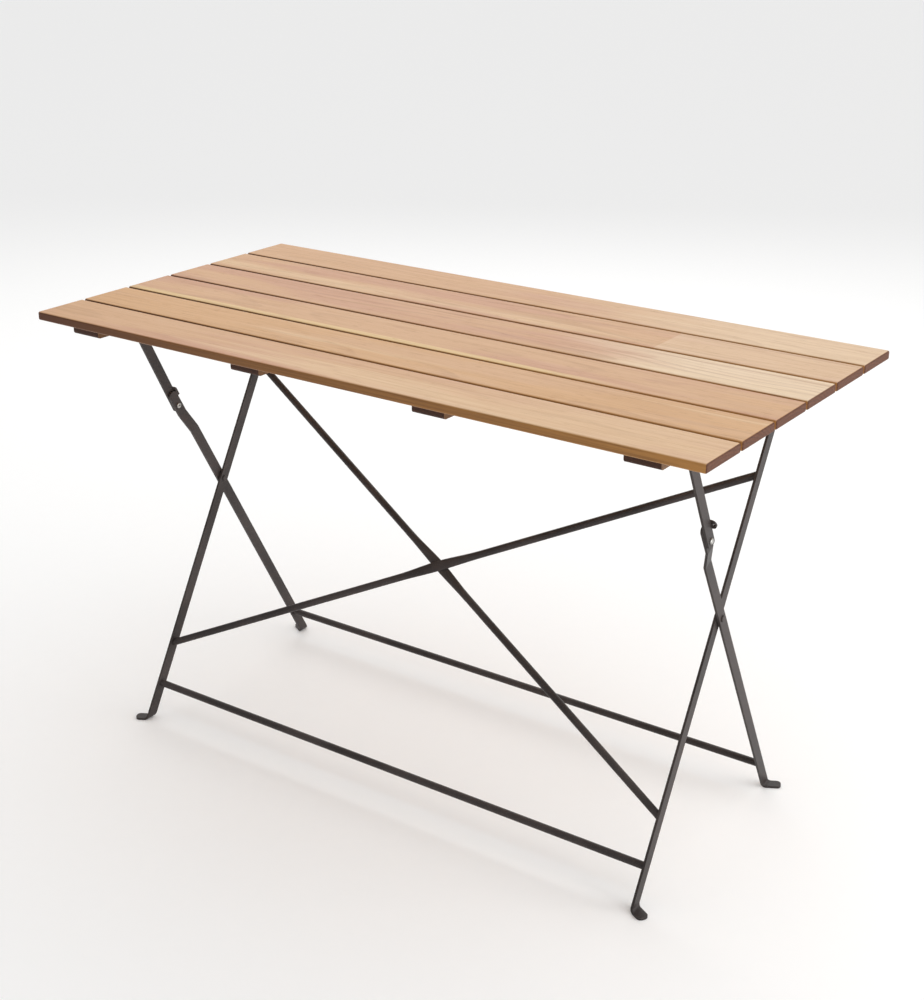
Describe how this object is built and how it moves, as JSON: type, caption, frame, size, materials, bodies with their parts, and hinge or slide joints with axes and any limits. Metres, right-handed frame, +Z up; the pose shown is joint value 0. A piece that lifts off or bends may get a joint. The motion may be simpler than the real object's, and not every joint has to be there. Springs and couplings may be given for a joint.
{
  "type": "folding table",
  "caption": "Rectangular slatted wooden tabletop on crossed flat-bar metal legs that fold flat under it through jointed side links.",
  "frame": {"origin": "on the floor, under the middle of the tabletop", "axes": "+X along the tabletop's length, +Y towards the back edge, +Z up"},
  "size_m": [1.2, 0.598, 0.745],
  "materials": {
    "slat_wood": "oiled light acacia with reddish and pale streaks",
    "batten_wood": "oiled darker acacia",
    "leg_paint": "dark bronze-brown powder coat, satin",
    "silver_rivet": "bare zinc-plated rivet",
    "screw_steel": "zinc-plated screw"
  },
  "bodies": {
    "top": {"slat_1": "slat_wood", "slat_2": "slat_wood", "slat_3": "slat_wood", "slat_4": "slat_wood", "slat_5": "slat_wood", "slat_6": "slat_wood", "batten_1": "batten_wood", "batten_2": "batten_wood", "batten_3": "batten_wood", "batten_4": "batten_wood", "slat_screws": "screw_steel", "bracket_screws": "screw_steel", "leg_bracket_left": "leg_paint", "leg_bracket_right": "leg_paint", "link_bracket_left": "leg_paint", "link_bracket_right": "leg_paint", "leg_pivot_pins": "leg_paint", "link_pivot_pins": "leg_paint", "leg_pivot_washers": "leg_paint", "link_pivot_washers": "leg_paint"},
    "inner_frame": {"inner_leg_left": "leg_paint", "inner_leg_right": "leg_paint", "front_stretcher": "leg_paint", "brace_rising": "leg_paint", "brace_falling": "leg_paint", "cross_pivot_pins": "leg_paint", "cross_pivot_washers": "leg_paint"},
    "outer_frame": {"outer_leg_left": "leg_paint", "outer_leg_right": "leg_paint", "back_stretcher": "leg_paint", "stop_eye_left": "leg_paint", "stop_eye_right": "leg_paint", "knee_rivet_inner_left": "silver_rivet", "knee_rivet_inner_right": "silver_rivet"},
    "link_left": {"knee_link_left": "leg_paint", "knee_rivet_outer_left": "silver_rivet"},
    "link_right": {"knee_link_right": "leg_paint", "knee_rivet_outer_right": "silver_rivet"}
  },
  "joints": [
    {"name": "inner_frame_fold", "type": "hinge", "parent": "top", "child": "inner_frame", "pos_m": [0, 0.1635, 0.692], "axis": [-1, 0, 0], "range_deg": [0, 60.82]},
    {"name": "outer_frame_fold", "type": "hinge", "parent": "inner_frame", "child": "outer_frame", "pos_m": [0, -0.00495, 0.3904], "axis": [-1, 0, 0], "range_deg": [0, 54.85]},
    {"name": "knee_link_left_fold", "type": "hinge", "parent": "top", "child": "link_left", "pos_m": [0, -0.16359, 0.692], "axis": [1, 0, 0], "range_deg": [0, 66.63]},
    {"name": "knee_link_right_fold", "type": "hinge", "parent": "top", "child": "link_right", "pos_m": [0, -0.16359, 0.692], "axis": [1, 0, 0], "range_deg": [0, 66.63]}
  ],
  "couplings": [
    {"joint": "outer_frame_fold", "follows": "inner_frame_fold", "ratio": 0.90157},
    {"joint": "knee_link_left_fold", "follows": "inner_frame_fold", "ratio": 1.0951},
    {"joint": "knee_link_right_fold", "follows": "inner_frame_fold", "ratio": 1.0951}
  ]
}
